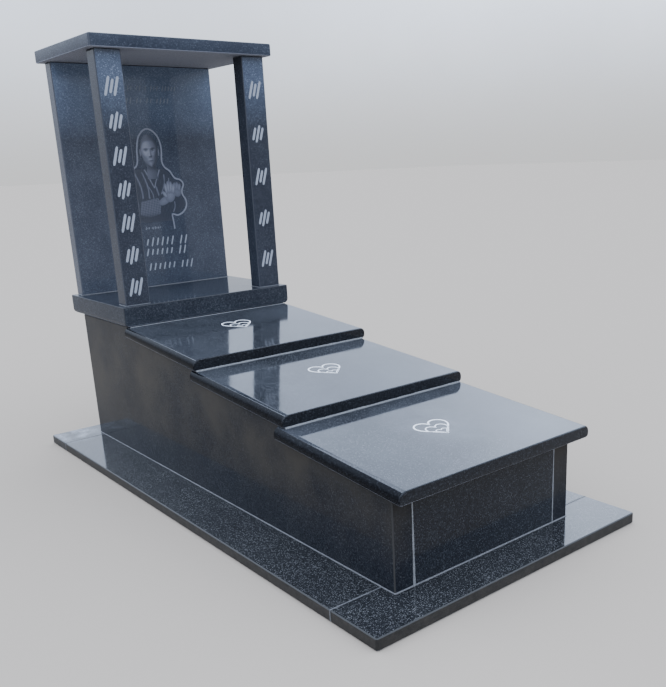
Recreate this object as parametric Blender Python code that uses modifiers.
"""A polished granite grave monument.

A border of base slabs lies on the ground. A hollow casket of four upright panels stands on it,
closed by three lapped ledger slabs that slope down to the foot and by a plinth at the head. The
plinth carries the headstone tablet and two columns, and a canopy slab lies across all three.
Metres, +Z up. The foot of the monument faces -Y, and the origin is on the ground under the middle
of the base.
"""
import math

import bmesh
import bpy

# Every pair of stones that touch is parted by this bedding gap
BEDDING_GAP = 0.0003

# Base border, flat on the ground
BASE_WIDTH = 0.900
BASE_LENGTH = 1.888
BASE_THICKNESS = 0.030
BASE_CORNER_RADIUS = 0.006
BEARING_LEDGE = 0.007

# Casket: four upright panels standing on the base border
CASKET_WIDTH = 0.606
CASKET_FRONT_MARGIN = 0.112
CASKET_BACK_MARGIN = 0.095
CASKET_HEIGHT = 0.443
SIDE_PANEL_THICKNESS = 0.058
FRONT_PANEL_THICKNESS = 0.040
BACK_PANEL_THICKNESS = 0.030

# The slabs that cover the casket stand out over its sides, the lowest one furthest
SIDE_OVERHANG = 0.0115
LOWER_LEDGER_SIDE_OVERHANG = 0.0205

# Ledger slabs, lapped like shingles
LEDGER_NAMES = ("ledger_lower", "ledger_middle", "ledger_upper")
LEDGER_THICKNESS = 0.034
LEDGER_TILT = math.radians(4.6)
LEDGER_FRONT_OVERHANG = 0.050
LEDGER_LAP = 0.030
LEDGER_TUCK = 0.015
LEDGER_HEAD_JOINT = 0.0015
LEDGER_TOP_RADIUS = 0.020
LEDGER_UNDER_RADIUS = 0.009

# Plinth under the headstone
PLINTH_DEPTH = 0.452
PLINTH_THICKNESS = 0.064
PLINTH_BACK_OVERHANG = 0.065
PLINTH_UNDER_RADIUS = 0.014

# Headstone tablet, columns and canopy
UPRIGHT_HEIGHT = 0.773
TABLET_WIDTH = 0.589
TABLET_THICKNESS = 0.047
TABLET_BACK_INSET = 0.010
COLUMN_WIDTH = 0.084
COLUMN_DEPTH = 0.057
COLUMN_FRONT_INSET = 0.021
CANOPY_SIDE_OVERHANG = 0.0205
CANOPY_FRONT_OVERHANG = 0.024
CANOPY_BACK_OVERHANG = 0.030
CANOPY_THICKNESS = 0.038
CANOPY_CORNER_RADIUS = 0.008

# Edge finish
ARRIS = 0.0025
ROUND_SEGMENTS = 6
CORNER_SEGMENTS = 3

# Levels and lines that the pieces share
CASKET_BOTTOM = BASE_THICKNESS + BEDDING_GAP
CASKET_TOP = CASKET_BOTTOM + CASKET_HEIGHT
PLINTH_BOTTOM = CASKET_TOP + BEDDING_GAP
PLINTH_TOP = PLINTH_BOTTOM + PLINTH_THICKNESS
UPRIGHT_BOTTOM = PLINTH_TOP + BEDDING_GAP
CANOPY_BOTTOM = UPRIGHT_BOTTOM + UPRIGHT_HEIGHT + BEDDING_GAP

CASKET_FRONT = -BASE_LENGTH / 2 + CASKET_FRONT_MARGIN
CASKET_BACK = BASE_LENGTH / 2 - CASKET_BACK_MARGIN
PLINTH_BACK = CASKET_BACK + PLINTH_BACK_OVERHANG
PLINTH_FRONT = PLINTH_BACK - PLINTH_DEPTH
TABLET_BACK = PLINTH_BACK - TABLET_BACK_INSET
COLUMN_FRONT = PLINTH_FRONT + COLUMN_FRONT_INSET

COVER_WIDTH = CASKET_WIDTH + 2 * SIDE_OVERHANG
LOWER_LEDGER_WIDTH = CASKET_WIDTH + 2 * LOWER_LEDGER_SIDE_OVERHANG
LEDGER_FOOT = CASKET_FRONT - LEDGER_FRONT_OVERHANG
LEDGER_REACH = (PLINTH_FRONT - LEDGER_FOOT) / len(LEDGER_NAMES)
LEDGER_SLOPE = math.tan(LEDGER_TILT)
LEDGER_DROP = (LEDGER_THICKNESS + BEDDING_GAP) / math.cos(LEDGER_TILT)

GRANITE_DARK = (0.030, 0.034, 0.045, 1.0)
GRANITE_BASE = (0.055, 0.060, 0.072, 1.0)


def clear_scene():
    """Remove the objects that the scene starts with."""
    for thing in list(bpy.data.objects):
        bpy.data.objects.remove(thing, do_unlink=True)


def new_collection(name):
    """Make a collection for the pieces of the monument."""
    collection = bpy.data.collections.new(name)
    bpy.context.scene.collection.children.link(collection)
    return collection


def granite(name, colour):
    """Polished granite, one material for each stone."""
    material = bpy.data.materials.new("granite_" + name)
    material.use_nodes = True
    shader = material.node_tree.nodes["Principled BSDF"]
    shader.inputs["Base Color"].default_value = colour
    shader.inputs["Roughness"].default_value = 0.12
    shader.inputs["Metallic"].default_value = 0.0
    return material


def box_mesh(width, depth, height):
    """A box with its middle at the origin, as an editable mesh."""
    mesh = bmesh.new()
    bmesh.ops.create_cube(mesh, size=1.0)
    bmesh.ops.scale(mesh, vec=(width, depth, height), verts=mesh.verts)
    return mesh


def round_edges(mesh, chosen, radius, segments):
    """Round the edges for which chosen(middle, direction) is true."""
    edges = []
    for edge in mesh.edges:
        start, end = (vert.co for vert in edge.verts)
        if chosen((start + end) / 2, (end - start).normalized()):
            edges.append(edge)
    bmesh.ops.bevel(mesh, geom=edges, offset=radius, segments=segments, profile=0.5, affect="EDGES")


def along(direction, axis):
    """Whether an edge's direction is that of axis 0, 1 or 2."""
    return abs(direction[axis]) > 0.99


def add_arris(stone):
    """Break the sharp edges of a stone with a small bevel."""
    bevel = stone.modifiers.new("arris", "BEVEL")
    bevel.width = ARRIS
    bevel.segments = 1
    bevel.limit_method = "ANGLE"
    bevel.angle_limit = math.radians(50)
    bevel.use_clamp_overlap = True


def place_stone(name, mesh, location, colour, tilt=0.0):
    """Turn an editable mesh into a named stone of the monument."""
    data = bpy.data.meshes.new(name)
    mesh.to_mesh(data)
    mesh.free()
    data.shade_smooth()
    data.set_sharp_from_angle(angle=math.radians(30))
    data.materials.append(granite(name, colour))
    stone = bpy.data.objects.new(name, data)
    stone.location = location
    stone.rotation_euler = (tilt, 0.0, 0.0)
    monument.objects.link(stone)
    add_arris(stone)
    return stone


def upright_panel(name, outline, middle, thickness):
    """A panel cut to an outline of (y, z) points, standing square to X."""
    curve = bpy.data.curves.new(name, "CURVE")
    curve.dimensions = "2D"
    curve.fill_mode = "BOTH"
    curve.extrude = thickness / 2
    spline = curve.splines.new("POLY")
    spline.points.add(len(outline) - 1)
    for point, (y, z) in zip(spline.points, outline):
        point.co = (y, z, 0.0, 1.0)
    spline.use_cyclic_u = True
    curve.materials.append(granite(name, GRANITE_DARK))
    panel = bpy.data.objects.new(name, curve)
    panel.rotation_euler = (math.radians(90), 0.0, math.radians(90))
    panel.location = (middle, 0.0, 0.0)
    monument.objects.link(panel)
    weld = panel.modifiers.new("weld", "WELD")
    weld.merge_threshold = 0.00005
    add_arris(panel)
    return panel


def ledger_front(index):
    """The y and z of the top front edge of one ledger slab, counted from the foot."""
    above = len(LEDGER_NAMES) - 1 - index
    y = LEDGER_FOOT + index * LEDGER_REACH
    head_y = PLINTH_FRONT + LEDGER_TUCK
    head_z = PLINTH_BOTTOM - LEDGER_HEAD_JOINT
    z = head_z - (head_y - y) * LEDGER_SLOPE - above * LEDGER_DROP
    return y, z


def ledger_back(index):
    """The y of the top back edge of one ledger slab."""
    if index == len(LEDGER_NAMES) - 1:
        return PLINTH_FRONT + LEDGER_TUCK
    return ledger_front(index + 1)[0] + LEDGER_LAP


def ledger_seat(index, y):
    """The height of the surface that one ledger slab is bedded on, at y."""
    front_y, front_z = ledger_front(index)
    return front_z + (y - front_y) * LEDGER_SLOPE - LEDGER_DROP


def ledger_step(index):
    """The y where the casket's side steps up behind one ledger slab."""
    return ledger_back(index) + LEDGER_THICKNESS * math.sin(LEDGER_TILT) + BEDDING_GAP


def make_base():
    """The border: one slab across each end and one along each side between them."""
    side_margin = (BASE_WIDTH - CASKET_WIDTH) / 2
    side_strip = side_margin + SIDE_PANEL_THICKNESS + BEARING_LEDGE
    front_strip = CASKET_FRONT_MARGIN + FRONT_PANEL_THICKNESS + BEARING_LEDGE
    back_strip = CASKET_BACK_MARGIN + BACK_PANEL_THICKNESS + BEARING_LEDGE
    middle_z = BASE_THICKNESS / 2

    for name, depth, side in (("base_front_slab", front_strip, -1), ("base_back_slab", back_strip, 1)):
        mesh = box_mesh(BASE_WIDTH, depth, BASE_THICKNESS)

        def outer_corner(middle, direction, side=side):
            return along(direction, 2) and middle.y * side > 0

        round_edges(mesh, outer_corner, BASE_CORNER_RADIUS, CORNER_SEGMENTS)
        place_stone(name, mesh, (0.0, side * (BASE_LENGTH - depth) / 2, middle_z), GRANITE_BASE)

    side_length = BASE_LENGTH - front_strip - back_strip - 2 * BEDDING_GAP
    side_middle = (front_strip - back_strip) / 2
    for name, side in (("base_left_slab", -1), ("base_right_slab", 1)):
        mesh = box_mesh(side_strip, side_length, BASE_THICKNESS)
        place_stone(name, mesh, (side * (BASE_WIDTH - side_strip) / 2, side_middle, middle_z), GRANITE_BASE)


def make_casket():
    """Two side panels with stepped tops, and the end panels that stand between them."""
    outline = [(CASKET_BACK, CASKET_BOTTOM), (CASKET_FRONT, CASKET_BOTTOM)]
    y = CASKET_FRONT
    for index in range(len(LEDGER_NAMES)):
        outline.append((y, ledger_seat(index, y)))
        y = ledger_step(index)
        outline.append((y, ledger_seat(index, y)))
    outline.append((y, CASKET_TOP))
    outline.append((CASKET_BACK, CASKET_TOP))
    side_middle = (CASKET_WIDTH - SIDE_PANEL_THICKNESS) / 2
    upright_panel("casket_left_side", outline, -side_middle, SIDE_PANEL_THICKNESS)
    upright_panel("casket_right_side", outline, side_middle, SIDE_PANEL_THICKNESS)

    inner_width = CASKET_WIDTH - 2 * SIDE_PANEL_THICKNESS - 2 * BEDDING_GAP
    inner_face = CASKET_FRONT + FRONT_PANEL_THICKNESS
    front_outline = [
        (inner_face, CASKET_BOTTOM),
        (CASKET_FRONT, CASKET_BOTTOM),
        (CASKET_FRONT, ledger_seat(0, CASKET_FRONT)),
        (inner_face, ledger_seat(0, inner_face)),
    ]
    upright_panel("casket_front_panel", front_outline, 0.0, inner_width)
    back_mesh = box_mesh(inner_width, BACK_PANEL_THICKNESS, CASKET_HEIGHT)
    back_place = (0.0, CASKET_BACK - BACK_PANEL_THICKNESS / 2, CASKET_BOTTOM + CASKET_HEIGHT / 2)
    place_stone("casket_back_panel", back_mesh, back_place, GRANITE_DARK)


def make_ledgers():
    """The three lapped slabs, each with its side edges rounded, more above than below."""
    for index, name in enumerate(LEDGER_NAMES):
        front_y, front_z = ledger_front(index)
        length = (ledger_back(index) - front_y) / math.cos(LEDGER_TILT)
        width = LOWER_LEDGER_WIDTH if index == 0 else COVER_WIDTH
        mesh = box_mesh(width, length, LEDGER_THICKNESS)

        def top_side(middle, direction):
            return along(direction, 1) and middle.z > LEDGER_THICKNESS / 4

        def under_side(middle, direction):
            return along(direction, 1) and middle.z < -LEDGER_THICKNESS / 4

        round_edges(mesh, under_side, LEDGER_UNDER_RADIUS, CORNER_SEGMENTS)
        round_edges(mesh, top_side, LEDGER_TOP_RADIUS, ROUND_SEGMENTS)
        bmesh.ops.translate(mesh, vec=(0.0, length / 2, -LEDGER_THICKNESS / 2), verts=mesh.verts)
        place_stone(name, mesh, (0.0, front_y, front_z), GRANITE_DARK, tilt=LEDGER_TILT)


def make_plinth():
    """The slab that carries the headstone, rounded below at its sides and back."""
    mesh = box_mesh(COVER_WIDTH, PLINTH_DEPTH, PLINTH_THICKNESS)

    def under_edge(middle, direction):
        back = along(direction, 0) and middle.y > 0
        return middle.z < 0 and (along(direction, 1) or back)

    round_edges(mesh, under_edge, PLINTH_UNDER_RADIUS, ROUND_SEGMENTS)
    middle = (0.0, (PLINTH_FRONT + PLINTH_BACK) / 2, PLINTH_BOTTOM + PLINTH_THICKNESS / 2)
    place_stone("headstone_plinth", mesh, middle, GRANITE_DARK)


def make_uprights():
    """The headstone tablet and the two columns, all of one height."""
    middle_z = UPRIGHT_BOTTOM + UPRIGHT_HEIGHT / 2
    tablet = box_mesh(TABLET_WIDTH, TABLET_THICKNESS, UPRIGHT_HEIGHT)
    tablet_place = (0.0, TABLET_BACK - TABLET_THICKNESS / 2, middle_z)
    place_stone("headstone_tablet", tablet, tablet_place, GRANITE_DARK)

    # The columns' outer faces line up with the edges of the tablet behind them
    column_x = (TABLET_WIDTH - COLUMN_WIDTH) / 2
    for name, side in (("column_left", -1), ("column_right", 1)):
        mesh = box_mesh(COLUMN_WIDTH, COLUMN_DEPTH, UPRIGHT_HEIGHT)
        place_stone(name, mesh, (side * column_x, COLUMN_FRONT + COLUMN_DEPTH / 2, middle_z), GRANITE_DARK)


def make_canopy():
    """The slab that lies across the tablet and the columns."""
    width = TABLET_WIDTH + 2 * CANOPY_SIDE_OVERHANG
    front = COLUMN_FRONT - CANOPY_FRONT_OVERHANG
    back = TABLET_BACK + CANOPY_BACK_OVERHANG
    mesh = box_mesh(width, back - front, CANOPY_THICKNESS)

    def corner(middle, direction):
        return along(direction, 2)

    round_edges(mesh, corner, CANOPY_CORNER_RADIUS, CORNER_SEGMENTS)
    middle_z = CANOPY_BOTTOM + CANOPY_THICKNESS / 2
    place_stone("canopy", mesh, (0.0, (front + back) / 2, middle_z), GRANITE_DARK)


clear_scene()
monument = new_collection("headstone")
make_base()
make_casket()
make_ledgers()
make_plinth()
make_uprights()
make_canopy()
